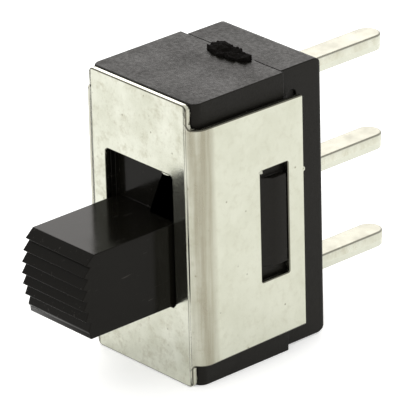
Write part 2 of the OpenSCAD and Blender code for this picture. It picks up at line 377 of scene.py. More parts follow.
def prism(outline, axis, low, high):
    """A solid whose outline, given in the two other axes, runs from low to high along an axis."""
    u, v = [(Y, Z), (Z, X), (X, Y)][axis]
    rings = []
    for end in (low, high):
        ring = [Vector() for _ in outline]
        for point, (a, b) in zip(ring, outline):
            point[axis], point[u], point[v] = end, a, b
        rings.append(ring)
    work = bmesh.new()
    skin(work, rings)
    return outward(work, "prism")


def disc(radius, centre, steps=64):
    """The points of a circle, as an outline."""
    turn = 2 * math.pi / steps
    return [(centre[0] + radius * math.cos(i * turn), centre[1] + radius * math.sin(i * turn))
            for i in range(steps)]


def place(mesh, name, material, body, slot, *nodes):
    """Puts a finished mesh in the scene as a piece that rides on a body and stands for CAD nodes."""
    mesh.materials.clear()
    mesh.materials.append(material)
    mesh.name = name
    piece = in_scene(name, mesh)
    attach(piece, body)
    if nodes:
        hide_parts(*nodes)
    return piece


# ---- materials


def specks(put, place_at, apart, fade, rare, most=1.0):
    """A mask of round dots: their spacing in mm, where they fade, the share left out, their strength."""
    cells = put(CELLS, {"Vector": place_at, "Scale": per(apart)})
    dot = put(RANGE, {
        "Value": cells, "From Min": fade[0], "From Max": fade[1], "To Min": most, "To Max": 0.0})
    few = put(MATH, {0: cells.outputs["Color"], 1: rare}, operation="GREATER_THAN")
    return put(MATH, {0: dot, 1: few}, operation="MULTIPLY")


def layered(put, base, *coats):
    """A base colour with coats over it, each a mask and the coat's colour."""
    tone = (*base, 1)
    for mask, coat in coats:
        tone = put(MIX, {"Fac": mask, "Color1": tone, "Color2": (*coat, 1)})
    return tone


def moulded_nylon(settings):
    """Glass-filled nylon off a spark-eroded mould: a satin black skin with a fine even grain, faint
    clouds where the filled melt flowed, and a little pale dust."""
    material, put, surface, place_at = finish_material(
        "glass-filled nylon moulded", settings.body, 0.42, IOR=1.53, Specular_IOR_Level=0.12,
        Specular_Tint=(1, 0.96, 0.91, 1))
    flow = put(NOISE, {"Vector": place_at, "Scale": per(1.6), "Detail": 5.0})
    grain = put(NOISE, {"Vector": place_at, "Scale": 1 / settings.grain, "Detail": 3.0, "Roughness": 0.6})
    clouds = put(RANGE, {"Value": flow, "From Min": 0.3, "From Max": 0.7, "To Max": 0.35})
    speck = specks(put, place_at, 0.75, (0.03, 0.05), 0.82)
    dusted = layered(put, settings.body, (clouds, linear("#1A1814")), (speck, settings.dust))
    satin = put(RANGE, {"Value": flow, "From Min": 0.3, "From Max": 0.7, "To Min": 0.34, "To Max": 0.46})
    # The real grain is finer than this, and is drawn coarser so that it shows
    pebble = put(NOISE, {"Vector": place_at, "Scale": per(0.16), "Detail": 3.0, "Roughness": 0.7})
    uneven = put(RANGE, {
        "Value": pebble, "From Min": 0.35, "From Max": 0.65, "To Min": -0.07, "To Max": 0.09})
    patchy = put(MATH, {0: satin, 1: uneven}, operation="ADD")
    relief = put(BUMP, {"Height": grain, "Strength": 0.8, "Distance": 0.012 * MM})
    dress(surface, Base_Color=dusted, Roughness=patchy, Normal=relief)
    return material


def torn_nylon(settings):
    """The same nylon where the gate tore off: dull, crumbly and darker, as the rough skin traps light."""
    material, put, surface, place_at = finish_material(
        "glass-filled nylon torn", linear("#080706"), 0.95, IOR=1.53, Specular_IOR_Level=0.05)
    crumb = put(NOISE, {"Vector": place_at, "Scale": per(0.12), "Detail": 6.0, "Roughness": 0.7})
    tone = layered(put, linear("#040303"), (crumb, linear("#14120F")))
    relief = put(BUMP, {"Height": crumb, "Strength": 1.0, "Distance": 0.03 * MM})
    dress(surface, Base_Color=tone, Normal=relief)
    return material


def moulded_acetal(settings):
    """Black acetal off a polished mould: a slick, rather glossy skin with soft clouds in its gloss,
    hairline scuffs from handling and a few pale specks."""
    material, put, surface, place_at = finish_material(
        "acetal moulded black", settings.body, 0.15, IOR=1.48, Specular_IOR_Level=0.09,
        Specular_Tint=(1, 0.96, 0.92, 1))
    soft = put(NOISE, {"Vector": place_at, "Scale": per(1.1), "Detail": 4.0})
    gloss = put(RANGE, {"Value": soft, "From Min": 0.3, "From Max": 0.7, "To Min": 0.11, "To Max": 0.19})
    drawn = put("ShaderNodeMapping", {"Vector": place_at, "Scale": (1.0, 0.12, 1.0)})
    hair = put(NOISE, {"Vector": drawn, "Scale": per(0.13), "Detail": 2.0, "Distortion": 0.6})
    thin = put(RANGE, {"Value": hair, "From Min": 0.69, "From Max": 0.75, "To Max": 0.1})
    speck = specks(put, place_at, 0.8, (0.035, 0.06), 0.9)
    worn = put(MATH, {0: thin, 1: speck}, operation="MAXIMUM")
    tone = layered(put, settings.body, (worn, settings.scuff))
    relief = put(BUMP, {"Height": soft, "Strength": 0.5, "Distance": 0.004 * MM})
    dress(surface, Base_Color=tone, Roughness=gloss, Normal=relief)
    return material


def tin_plate(settings):
    """Bright tin over rolled steel sheet: nearly a mirror, a little green and warm, with duller clouds, a
    fine crystalline mottle and dark pinholes; grey bands at the bends are a painted reflection, the darker
    wings are painted shade, and a painted dark reflection lines each rounded edge."""
    material, put, surface, place_at = finish_material(
        "tin-plated steel sheet", settings.tin, 0.2, Metallic=1.0)
    clouds = put(NOISE, {"Vector": place_at, "Scale": per(1.5), "Detail": 5.0, "Roughness": 0.6})
    mottle = put(NOISE, {"Vector": place_at, "Scale": per(0.22), "Detail": 4.0, "Roughness": 0.65})
    dull = put(RANGE, {"Value": clouds, "From Min": 0.35, "From Max": 0.7})
    spots = put(RANGE, {"Value": mottle, "From Min": 0.55, "From Max": 0.75, "To Max": 0.35})

    patches = put(NOISE, {"Vector": place_at, "Scale": per(0.45), "Detail": 6.0, "Roughness": 0.7})
    handled = put(RANGE, {"Value": patches, "From Min": 0.5, "From Max": 0.68, "To Max": 0.55})

    axes = put("ShaderNodeSeparateXYZ", {"Vector": place_at})
    side = put(MATH, {0: axes.outputs["X"]}, operation="ABSOLUTE")
    # Painted shade: the wings are mixed towards the duller tone, so that they are darker than the front as
    # a side face looks under the light
    wing = put(RANGE, {
        "Value": side, "From Min": FRAME_HIGH.x - 0.1 * MM, "From Max": FRAME_HIGH.x - 0.02 * MM,
        "To Max": 0.6})
    # Painted reflection: grey bands along the two bends, standing in for the darker surroundings that the
    # curved sheet mirrors, drawn as streaks along Z
    bend_x = FRAME_HIGH.x - settings.bend
    bend_y = FRAME_LOW.y + settings.bend
    beside = put(RANGE, {"Value": side, "From Min": bend_x, "From Max": bend_x + 0.3 * MM})
    along = put(RANGE, {
        "Value": axes.outputs["Y"], "From Min": bend_y + 0.5 * MM, "From Max": bend_y + 0.1 * MM})
    bend = put(MATH, {0: beside, 1: along}, operation="MULTIPLY")
    drawn = put("ShaderNodeMapping", {"Vector": place_at, "Scale": (1.0, 1.0, 0.05)})
    lines = put(NOISE, {"Vector": drawn, "Scale": per(0.4), "Detail": 4.0, "Roughness": 0.6})
    painted_bend_bands = put(RANGE, {"Value": lines, "From Min": 0.35, "From Max": 0.65, "To Min": 0.4, "To Max": 0.85})
    streaks = put(MATH, {0: bend, 1: painted_bend_bands}, operation="MULTIPLY")

    pits = specks(put, place_at, 0.55, (0.05, 0.11), 0.62, 0.75)
    # Painted reflection: the rounded edges get a darker tone for the dark surroundings that they mirror,
    # which draws a thin dark line on each side of a bright cut edge
    rim = put("ShaderNodeAttribute", attribute_name="rim").outputs["Fac"]
    painted_edge_dark = put(MATH, {0: rim, 1: 0.9}, operation="MULTIPLY")
    lined = layered(
        put, settings.tin, (dull, settings.dull), (spots, linear("#B4B6A6")),
        (handled, linear("#A3A08C")), (wing, settings.dull), (streaks, settings.streak),
        (pits, linear("#7C7866")), (painted_edge_dark, linear("#58564B")))

    satin = put(RANGE, {"Value": clouds, "From Min": 0.3, "From Max": 0.7, "To Min": 0.1, "To Max": 0.19})
    rougher = put(MATH, {0: streaks, 1: 0.15, 2: satin}, operation="MULTIPLY_ADD")
    # The sheet is never quite flat: long waves bend what it mirrors, and the mottle is a fine relief
    waves = put(NOISE, {"Vector": place_at, "Scale": per(1.3), "Detail": 1.0})
    wavy = put(BUMP, {"Height": waves, "Strength": 1.0, "Distance": 0.012 * MM})
    relief = put(BUMP, {"Height": mottle, "Strength": 0.6, "Distance": 0.004 * MM, "Normal": wavy})
    dress(surface, Base_Color=lined, Roughness=rougher, Normal=relief)
    return material


def tinned_brass(settings):
    """Tin over blanked brass strip: ivory white flats with pinholes, and cut edges with a burnished
    upper band, scratched across by the punch, over a paler, crumbly broken band."""
    material, put, surface, place_at = finish_material(
        "tin-plated brass blanked", settings.tin, 0.28, Metallic=1.0)
    cut = put("ShaderNodeAttribute", attribute_name="cut_edge").outputs["Fac"]
    broken = put("ShaderNodeAttribute", attribute_name="broken").outputs["Fac"]
    clouds = put(NOISE, {"Vector": place_at, "Scale": per(0.9), "Detail": 5.0, "Roughness": 0.6})
    flat = put(RANGE, {"Value": clouds, "From Min": 0.4, "From Max": 0.75, "To Max": 0.5})
    drawn = put("ShaderNodeMapping", {"Vector": place_at, "Scale": (1.0, 1.0, 0.5)})
    lines = put(NOISE, {"Vector": drawn, "Scale": per(0.4), "Detail": 5.0, "Roughness": 0.65})
    scratch = put(RANGE, {"Value": lines, "From Min": 0.35, "From Max": 0.7, "To Min": 0.1})
    crumb = put(NOISE, {"Vector": place_at, "Scale": per(0.09), "Detail": 4.0, "Roughness": 0.7})
    burnish = put(MATH, {0: cut, 1: broken}, operation="SUBTRACT")
    band = put(MATH, {0: burnish, 1: scratch}, operation="MULTIPLY")
    # Painted reflection: the rolled upper edges and the lower rim get a darker tone, which draws dark
    # outlines round each blade
    rim = put("ShaderNodeAttribute", attribute_name="rim").outputs["Fac"]
    painted_edge_dark = put(MATH, {0: rim, 1: 0.75}, operation="MULTIPLY")
    pits = specks(put, place_at, 0.6, (0.05, 0.09), 0.7, 0.85)
    pitted = layered(
        put, settings.tin, (flat, linear("#858377")), (cut, settings.side), (band, settings.cut),
        (painted_edge_dark, linear("#77756A")), (pits, linear("#6E6A58")))
    satin = put(RANGE, {
        "Value": clouds, "From Min": 0.3, "From Max": 0.7, "To Min": 0.24, "To Max": 0.36})
    rougher = put(MATH, {0: broken, 1: 0.2, 2: satin}, operation="MULTIPLY_ADD")
    depth = put(MATH, {0: broken, 1: crumb}, operation="MULTIPLY")
    coarse = put(BUMP, {"Height": depth, "Strength": 0.8, "Distance": 0.02 * MM})
    relief = put(BUMP, {"Height": clouds, "Strength": 0.8, "Distance": 0.02 * MM, "Normal": coarse})
    dress(surface, Base_Color=pitted, Roughness=rougher, Normal=relief)
    return material


def drawn_metal(name, base, roughness, grain, metallic=1.0):
    """A small inner part: one even tone with fine tool marks that cloud its gloss."""
    material, put, surface, place_at = finish_material(name, base, roughness, Metallic=metallic)
    marks = put(NOISE, {"Vector": place_at, "Scale": per(grain), "Detail": 4.0, "Roughness": 0.6})
    tone = layered(put, base, (marks, [c * 0.75 for c in base]))
    satin = put(RANGE, {"Value": marks, "To Min": roughness - 0.08, "To Max": roughness + 0.12})
    relief = put(BUMP, {"Height": marks, "Strength": 0.5, "Distance": 0.003 * MM})
    dress(surface, Base_Color=tone, Roughness=satin, Normal=relief)
    return material


def pale_floor(settings):
    """Opal acrylic lit from below: plain, matt and pale, with a trace of a cloudy tone."""
    material, put, surface, place_at = finish_material(
        "acrylic opal matt", settings.floor, 0.6, Emission_Color=(1, 1, 1, 1),
        Emission_Strength=settings.glow)
    clouds = put(NOISE, {"Vector": place_at, "Scale": per(60), "Detail": 3.0})
    tone = layered(put, settings.floor, (clouds, [c * 0.985 for c in settings.floor]))
    dress(surface, Base_Color=tone)
    return material


# ---- pieces


def knob_tree():
    """The knob: a block whose front is a row of sawtooth ridges with their crests on one arc.

    A strip of two columns has two rows for each ridge, its groove and its crest, and two for the foot.
    It is set to the toothed outline, pulled back to a flat end, and closed by a copy of itself."""
    tree, given = shape_tree(
        "grip_knob", Width="Float", Top="Float", Bottom="Float", Tip="Float", Back="Float",
        Ridges="Int", Depth="Float", Arc="Float", Foot="Float", Step="Float", Upright="Float",
        Fall="Float", Material="Material")
    put = partial(add, tree)
    pairs = put(MATH, {0: given["Ridges"], 1: 1.0}, operation="ADD")
    rows = put(MATH, {0: pairs, 1: 2.0}, operation="MULTIPLY")
    strip = put("GeometryNodeMeshGrid", {"Vertices X": 2, "Vertices Y": rows})
    index = put("GeometryNodeInputIndex")
    row = put(MATH, {0: index, 1: rows}, operation="MODULO")
    column = put(MATH, {0: index, 1: rows}, operation="DIVIDE")
    right = put(MATH, {0: column, 1: 0.9999}, operation="GREATER_THAN")
    across = put(MATH, {0: right, 1: 0.5}, operation="SUBTRACT")
    x = put(MATH, {0: across, 1: given["Width"]}, operation="MULTIPLY")

    crest = put(MATH, {0: row, 1: 2.0}, operation="MODULO")
    even = put(MATH, {0: row, 1: crest}, operation="SUBTRACT")
    ridge = put(MATH, {0: even, 1: 2.0}, operation="DIVIDE")
    height = put(MATH, {0: given["Top"], 1: given["Bottom"]}, operation="SUBTRACT")
    toothed = put(MATH, {0: height, 1: given["Foot"]}, operation="SUBTRACT")
    pitch = put(MATH, {0: toothed, 1: given["Ridges"]}, operation="DIVIDE")
    slope = put(MATH, {0: crest, 1: given["Fall"], 2: ridge}, operation="MULTIPLY_ADD")
    drop = put(MATH, {0: slope, 1: pitch}, operation="MULTIPLY")
    level = put(MATH, {0: given["Top"], 1: drop}, operation="SUBTRACT")
    z = put(MATH, {0: level, 1: given["Bottom"]}, operation="MAXIMUM")

    ends = put(MATH, {0: given["Top"], 1: given["Bottom"]}, operation="ADD")
    middle = put(MATH, {0: ends, 1: 0.5}, operation="MULTIPLY")
    upright = put(MATH, {
        0: given["Foot"], 1: given["Upright"], 2: given["Bottom"]}, operation="MULTIPLY_ADD")
    held = put(MATH, {0: z, 1: upright}, operation="MAXIMUM")
    off = put(MATH, {0: held, 1: middle}, operation="SUBTRACT")
    off_2 = put(MATH, {0: off, 1: off}, operation="MULTIPLY")
    arc_2 = put(MATH, {0: given["Arc"], 1: given["Arc"]}, operation="MULTIPLY")
    rest = put(MATH, {0: arc_2, 1: off_2}, operation="SUBTRACT")
    chord = put(MATH, {0: rest}, operation="SQRT")
    sag = put(MATH, {0: given["Arc"], 1: chord}, operation="SUBTRACT")
    on_arc = put(MATH, {0: given["Tip"], 1: sag}, operation="ADD")
    groove = put(MATH, {0: 1.0, 1: crest}, operation="SUBTRACT")
    in_ridge = put(MATH, {0: groove, 1: given["Depth"]}, operation="MULTIPLY")
    at_foot = put(MATH, {0: ridge, 1: given["Ridges"]}, operation="COMPARE")
    at_foot.inputs[2].default_value = 0.5
    inset = put("ShaderNodeMix", {0: at_foot, 2: in_ridge, 3: given["Step"]}, data_type="FLOAT")
    y = put(MATH, {0: on_arc, 1: inset}, operation="ADD")
    outline = put("ShaderNodeCombineXYZ", {"X": x, "Y": y, "Z": z})

    front = put("GeometryNodeSetPosition", {"Geometry": strip, "Position": outline})
    pulled = put("GeometryNodeExtrudeMesh", {"Mesh": front, "Offset Scale": 0.0, "Individual": False})
    now = put("ShaderNodeSeparateXYZ", {"Vector": put("GeometryNodeInputPosition")})
    flat = put("ShaderNodeCombineXYZ", {"X": now.outputs["X"], "Y": given["Back"], "Z": now.outputs["Z"]})
    block = put("GeometryNodeSetPosition", {
        "Geometry": pulled, "Selection": pulled.outputs["Top"], "Position": flat})
    teeth = put("GeometryNodeFlipFaces", {"Mesh": front})
    both = put("GeometryNodeJoinGeometry", {"Geometry": block})
    tree.links.new(teeth.outputs[0], both.inputs[0])
    closed = put("GeometryNodeMergeByDistance", {"Geometry": both, "Distance": WELD})
    shape_end(tree, closed, given["Material"])
    return tree


def coil_tree():
    """A compression spring: a helix of open turns whose two end turns lie closed, with round wire."""
    tree, given = shape_tree(
        "coil_spring", Wire="Float", Radius="Float", Length="Float", Turns="Int",
        Start="Vector", Material="Material")
    put = partial(add, tree)
    coil = put("GeometryNodeCurveSpiral", {
        "Resolution": 28, "Rotations": given["Turns"], "Start Radius": given["Radius"],
        "End Radius": given["Radius"], "Height": given["Length"]})
    share_along = put("GeometryNodeSplineParameter").outputs["Factor"]
    turn = put(MATH, {0: share_along, 1: given["Turns"]}, operation="MULTIPLY")
    open_n = put(MATH, {0: given["Turns"], 1: 2.0}, operation="SUBTRACT")
    last_n = put(MATH, {0: given["Turns"], 1: 1.0}, operation="SUBTRACT")
    first = put(MATH, {0: turn, 1: 1.0}, operation="MINIMUM")
    past = put(MATH, {0: turn, 1: 1.0}, operation="SUBTRACT")
    middle = put("ShaderNodeClamp", {"Value": past, "Min": 0.0, "Max": open_n})
    over = put(MATH, {0: turn, 1: last_n}, operation="SUBTRACT")
    last = put(MATH, {0: over, 1: 0.0}, operation="MAXIMUM")
    closed = put(MATH, {0: first, 1: last}, operation="ADD")
    half = put(MATH, {0: closed, 1: 0.5}, operation="ADD")
    tight = put(MATH, {0: half, 1: given["Wire"]}, operation="MULTIPLY")
    ends = put(MATH, {0: given["Wire"], 1: 3.0}, operation="MULTIPLY")
    spare = put(MATH, {0: given["Length"], 1: ends}, operation="SUBTRACT")
    pitch = put(MATH, {0: spare, 1: open_n}, operation="DIVIDE")
    rise = put(MATH, {0: middle, 1: pitch, 2: tight}, operation="MULTIPLY_ADD")
    at = put("ShaderNodeSeparateXYZ", {"Vector": put("GeometryNodeInputPosition")})
    local = put("ShaderNodeCombineXYZ", {"X": at.outputs["X"], "Y": rise, "Z": at.outputs["Y"]})
    seat = put("ShaderNodeVectorMath", {0: local, 1: given["Start"]}, operation="ADD")
    helix = put("GeometryNodeSetPosition", {"Geometry": coil, "Position": seat})
    radius = put(MATH, {0: given["Wire"], 1: 0.5}, operation="MULTIPLY")
    section = put("GeometryNodeCurvePrimitiveCircle", {"Resolution": 14, "Radius": radius})
    wire = put("GeometryNodeCurveToMesh", {"Curve": helix, "Profile Curve": section, "Fill Caps": True})
    smooth = put("GeometryNodeSetShadeSmooth", {"Geometry": wire})
    shape_end(tree, smooth, given["Material"])
    return tree


def housing_blank(settings):
    """The housing's plain shape, with a pocket where the gate tore off and a groove at the parting."""
    mesh = welded("housing")
    front_top = span("housing", Z, lambda p: p.y < HOUSING_LOW.y + MM)[1]
    parting_y = span("housing", Y, lambda p: abs(p.z - front_top) < NEAR)[1]
    rear_x, rear_top = span("housing", X, rear_half)[1], span("housing", Z, rear_half)[1]
    inside_x = rear_x - 0.3 * MM  # Deeper in than a dimple reaches, but still within the wall
    dimple = span("housing", Z, lambda p: (
        parting_y + NEAR < p.y < -MM and p.z > 0 and inside_x < p.x < rear_x - NEAR))
    level_cuts(mesh, rear_x, sum(dimple) / 2)
    for vertex in mesh.vertices:
        if vertex.co.z > front_top + NEAR:
            vertex.co.z = rear_top - settings.pocket
    size = settings.parting
    bottom = 0.6 * size  # The groove narrows towards its bottom
    groove = [(parting_y, rear_top - size), (parting_y + bottom, rear_top - size),
              (parting_y + size, rear_top + size), (parting_y, rear_top + size)]
    return joined(mesh, prism(groove, X, -rear_x - MM, rear_x + MM), "DIFFERENCE")


def level_cuts(mesh, side_x, height):
    """Splits the side faces level with their dimples, and not in slants to a corner."""
    work = bmesh.new()
    work.from_mesh(mesh)
    for z in (height, -height):
        everything = work.verts[:] + work.edges[:] + work.faces[:]
        bmesh.ops.bisect_plane(
            work, geom=everything, dist=NEAR, plane_co=(0, 0, z), plane_no=(0, 0, 1))
    flat = 0.01  # The most that two faces of one plane turn from each other, in radians
    slanting = [
        e for e in work.edges
        if all(abs(abs(v.co.x) - side_x) < NEAR for v in e.verts) and e.calc_face_angle(1) < flat
        and not all(abs(abs(v.co.z) - height) < NEAR for v in e.verts)]
    bmesh.ops.dissolve_edges(work, edges=slanting, use_verts=False)
    work.to_mesh(mesh)
    work.free()


def rear_half(point):
    """Whether a point of the housing lies near its seating face."""
    return point.y > -MM


def gate_vestige(settings):
    """The torn stub of the gate: the CAD stub's outline, broken up into a crumbled mound."""
    top = HOUSING_HIGH.z
    corners = [p for p in points("housing") if p.z > top - 10 * NEAR]
    centre = sum(corners, Vector()) / len(corners)
    reach = {math.atan2(p.y - centre.y, p.x - centre.x): (p - centre).xy.length for p in corners}
    # The corners by their angles, with a turn before and after, so that each angle lies between two
    around = sorted((a + turn, out) for a, out in reach.items() for turn in (-2 * math.pi, 0, 2 * math.pi))

    def edge(angle):
        """The outline's distance from its middle, at an angle between two of its corners."""
        (low, near), (high, far) = next(pair for pair in zip(around, around[1:]) if pair[1][0] > angle)
        part = (angle - low) / (high - low)
        return near * (1 - part) + far * part

    rings, steps, walls = 16, 120, 2
    sunk, proud = 0.05 * MM, 0.02 * MM  # How far the mound starts low, and the most that it stands up
    behind = 1.5 * MM  # Far enough behind the stub to find the bare top
    shoulder, swell = 0.55, 0.07  # The shares by which the last wall rises and a crumb sticks out
    # Two noises, each by its smoothness, the step in size between its layers, and its layers
    torn, crumbled, elsewhere = (0.9, 2.1, 5), (0.8, 2.2, 4), Vector((7, 3, 1))
    foot = span("housing", Z, lambda p: p.y > centre.y + behind)[1] - sunk
    mound = []
    for ring in range(rings + 1):
        row = []
        share_out = min(1.0, (ring + 0.5) / (rings - walls))
        wall = rings - ring
        for step in range(steps):
            angle = -math.pi + (step + 0.5) * 2 * math.pi / steps
            out = edge(angle) * share_out
            spot = Vector((centre.x + out * math.cos(angle), centre.y + out * math.sin(angle), 0))
            tear = noise.fractal(spot * per(0.35), *torn)
            ragged = noise.fractal(spot * per(0.16) + elsewhere, *crumbled)
            rise = top - sunk + settings.gate_rough * (1.2 * tear + 0.5 * ragged)
            rise -= sunk * share_out ** 3
            if wall < walls:
                rise = foot + (rise - foot) * shoulder * wall
            grow = 1 + swell * ragged * share_out
            row.append((centre.x + (spot.x - centre.x) * grow,
                        centre.y + (spot.y - centre.y) * grow, min(rise, top + proud)))
        mound.append(row)
    work = bmesh.new()
    skin(work, mound)
    mesh = outward(work, "gate")
    mesh.shade_smooth()
    return mesh


def edge_burrs(settings):
    """Slivers torn up where the blanking tool left the sheet: each stands on an edge, leaning outwards."""
    left, right, front, rear = FRAME_LOW.x, FRAME_HIGH.x, FRAME_LOW.y, FRAME_HIGH.y
    window_x = span("frame", X, lambda p: p.y < front + NEAR and abs(p.z) < 0.5 * FRAME_HIGH.z)[1]
    window = span("frame", Z, lambda p: p.y < front + NEAR and abs(p.x) < window_x - NEAR)

    def in_slot(point):
        """Whether a point of the frame lies on the outer edge of the right wing's slot."""
        return point.x > right - NEAR and abs(point.z) < 0.45 * FRAME_HIGH.z

    slot_z, slot_y = span("frame", Z, in_slot), span("frame", Y, in_slot)[0]
    long, short = 2 * settings.burr, settings.burr
    # Each burr: the middle of its root, the way along the edge, and the way that it leans
    burrs = [
        ((window_x - 0.8 * long, front, window[1]), (long, 0, 0), (0, -0.1 * short, -0.12 * short)),
        ((window_x, front, window[0]), (0, 0, short), (-0.2 * short, -0.2 * short, -0.2 * short)),
        ((right, slot_y, slot_z[1]), (0, short, 0), (0.25 * short, 0, -0.3 * short)),
        ((right, rear, 0.3 * FRAME_HIGH.z), (0, 0, short), (0.1 * short, 0.2 * short, 0)),
        ((left, front + settings.bend, 0.88 * FRAME_HIGH.z), (0, 0, short), (-0.1 * short, 0, 0))]
    # Shares: a root's half width, how deep it starts, and how narrow and how far along its crown is
    broad, sunk, narrow, skew = 0.12, 0.3, 0.45, 0.1
    work = bmesh.new()
    for root, along, lean in burrs:
        root, along, lean = Vector(root), Vector(along), Vector(lean)
        across = along.cross(lean).normalized() * broad * short
        ends = [root - along / 2, root + across, root + along / 2, root - across]
        crown = [p * narrow + (root + along * skew) * (1 - narrow) + lean for p in ends]
        skin(work, [[p - lean * sunk for p in ends], crown])
    return outward(work, "burrs")


def stamped_blade(node, ridged, settings):
    """A terminal blanked from strip: rolled over at its upper edges, and broken away at its lower ones."""
    low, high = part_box(node)
    blade_x = span(node, X, lambda p: p.y > 0)[1]
    head_y = span(node, Y, lambda p: p.x > high.x - NEAR)[1]
    tip_steps, nose_steps = 32, 24
    tip = [(blade_x * math.cos(a), high.y - blade_x + blade_x * math.sin(a))
           for a in (math.pi * i / tip_steps for i in range(tip_steps + 1))]
    outline = [(high.x, low.y), (high.x, head_y), (blade_x, head_y), *tip,
               (-blade_x, head_y), (-high.x, head_y), (-high.x, low.y)]
    outline = [Vector(p) for p in outline]
    count = len(outline)
    sharpest = 0.2  # A corner sharper than this is pulled in no further

    def pulled_in(amount):
        """The outline with each side moved in by an amount."""
        moved = []
        for i, point in enumerate(outline):
            before = (point - outline[i - 1]).normalized()
            after = (outline[(i + 1) % count] - point).normalized()
            sides = Vector((before.y, -before.x)) + Vector((after.y, -after.x))
            moved.append(point - sides * (amount / max(sharpest, sides.length_squared / 2)))
        return moved

    roll, step = settings.roll, settings.fracture
    thick = high.z - low.z
    burnish_z, break_z, foot_z = 0.45 * thick, 0.38 * thick, 0.03 * thick
    # Each level: its height, how far it stands in, and its cut, broken and rim values
    levels = [
        (thick, 1.6 * roll, 0, 0, 0), (thick, roll, 0, 0, 1), (thick - 0.3 * roll, 0.3 * roll, 0, 0, 1),
        (thick - roll, 0, 1, 0, 0.2), (burnish_z, 0, 1, 0, 0), (break_z, 0.6 * step, 1, 1, 0),
        (foot_z, step, 1, 1, 0), (0, step + 0.015 * MM, 0, 0, 1)]
    work = bmesh.new()
    skin(work, [[(p.x, p.y, low.z + height) for p in pulled_in(amount)]
                for height, amount, *_ in levels])
    mesh = outward(work, node)
    # The rim values say where the material paints its dark outline, a painted reflection
    for column, name in enumerate(("cut_edge", "broken", "rim"), 2):
        values = mesh.attributes.new(name, "FLOAT", "POINT")
        for i in range(len(mesh.vertices)):
            values.data[i].value = levels[i // count][column]
    if ridged:
        # The head's inner end is a half-round ridge, as thick as the strip
        middle, nose, clear = (high.z + low.z) / 2, thick / 2, 0.1 * MM
        arc = [math.pi * (0.5 + i / nose_steps) for i in range(nose_steps + 1)]
        ridge = [(low.y + nose + nose * math.cos(a), middle + nose * math.sin(a)) for a in arc]
        box = [(low.y + nose, middle - nose - clear), (high.y + MM, middle - nose - clear),
               (high.y + MM, middle + nose + clear), (low.y + nose, middle + nose + clear)]
        mesh = joined(mesh, prism(ridge + box, X, low.x - MM, high.x + MM), "INTERSECT")
    mesh.shade_smooth()
    return shaped(mesh, ("WEIGHTED_NORMAL", {"weight": 100}))


# ---- operators


class SWITCH_OT_housing(bpy.types.Operator):
    """Finishes the moulded housing, and adds the torn stub of its gate"""
    bl_idname = "slide_switch.housing"
    bl_label = "Housing"

    def execute(self, context):
        settings = context.scene.slide_switch.housing
        body, slot = home("housing")
        mesh = rounded(housing_blank(settings), settings.edge)
        place(mesh, "housing_moulding", moulded_nylon(settings), body, slot, "housing")
        place(gate_vestige(settings), "gate_vestige", torn_nylon(settings), body, slot)
        return {"FINISHED"}


class SWITCH_OT_frame(bpy.types.Operator):
    """Finishes the folded sheet frame with rounded, blanked edges and a few torn burrs"""
    bl_idname = "slide_switch.frame"
    bl_label = "Frame"

    def execute(self, context):
        settings = context.scene.slide_switch.frame
        material = tin_plate(settings)
        body, slot = home("frame")
        mesh = rounded(welded("frame"), settings.edge, segments=2)
        place(mesh, "frame_sheet", material, body, slot, "frame")
        place(edge_burrs(settings), "frame_burrs", material, body, slot)
        return {"FINISHED"}


class SWITCH_OT_slider(bpy.types.Operator):
    """Makes the slider: its ridged knob, its flange with two runners, and the plunger's bore"""
    bl_idname = "slide_switch.slider"
    bl_label = "Slider"

    def execute(self, context):
        settings = context.scene.slide_switch.slider
        low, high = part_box("slider")
        flange_z = span("slider", Z)
        middle = sum(flange_z) / 2
        flange_y = span("slider", Y, lambda p: abs(p.x - KNOB_X[1]) < NEAR)[1]
        runner_y, back_y = span("slider", Y, lambda p: p.x > high.x - NEAR)
        runner_x = span("slider", X, lambda p: abs(p.y - runner_y) < NEAR and p.x > 0)[0]
        boss_r = span("slider", X, lambda p: p.y > high.y - NEAR)[1]
        bore_r = min(math.hypot(p.x, p.z - middle) for p in points("slider") if p.y > high.y - NEAR)
        bore_y = span("slider", Y, lambda p: math.hypot(p.x, p.z - middle) < bore_r + NEAR)[0]

        material = moulded_acetal(settings)
        mesh = grown(
            knob_tree(), Width=KNOB_X[1] - KNOB_X[0], Top=KNOB_Z[1], Bottom=KNOB_Z[0], Tip=low.y,
            Back=(flange_y + back_y) / 2, Ridges=settings.ridges, Depth=settings.depth,
            Arc=settings.arc, Foot=settings.foot, Step=settings.step, Upright=settings.upright,
            Fall=settings.fall, Material=material)
        flange = [(-high.x, runner_y), (-runner_x, runner_y), (-runner_x, flange_y),
                  (runner_x, flange_y), (runner_x, runner_y), (high.x, runner_y),
                  (high.x, back_y), (-high.x, back_y)]
        boss = disc(boss_r, (middle, 0))
        bore = disc(bore_r, (middle, 0))
        mesh = joined(mesh, prism(flange, Z, *flange_z), "UNION")
        mesh = joined(mesh, prism(boss, Y, (flange_y + back_y) / 2, high.y), "UNION")
        mesh = joined(mesh, prism(bore, Y, bore_y, high.y + MM), "DIFFERENCE")
        mesh = rounded(mesh, settings.edge, segments=2, angle=25)
        place(mesh, "slider_moulding", material, *home("slider"), "slider")
        return {"FINISHED"}


class SWITCH_OT_spring(bpy.types.Operator):
    """Winds the plunger's spring"""
    bl_idname = "slide_switch.spring"
    bl_label = "Spring"

    def execute(self, context):
        settings = context.scene.slide_switch.spring
        low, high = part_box("spring")
        start = Vector((0, low.y, (low.z + high.z) / 2))
        material = drawn_metal("spring steel drawn wire", settings.steel, 0.3, 0.04)
        mesh = grown(
            coil_tree(), Wire=settings.wire, Radius=high.x - settings.wire / 2,
            Length=high.y - low.y, Turns=settings.turns, Start=start, Material=material)
        piece = place(mesh, "spring_coil", material, *home("spring"), "spring")
        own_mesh(piece)
        return {"FINISHED"}


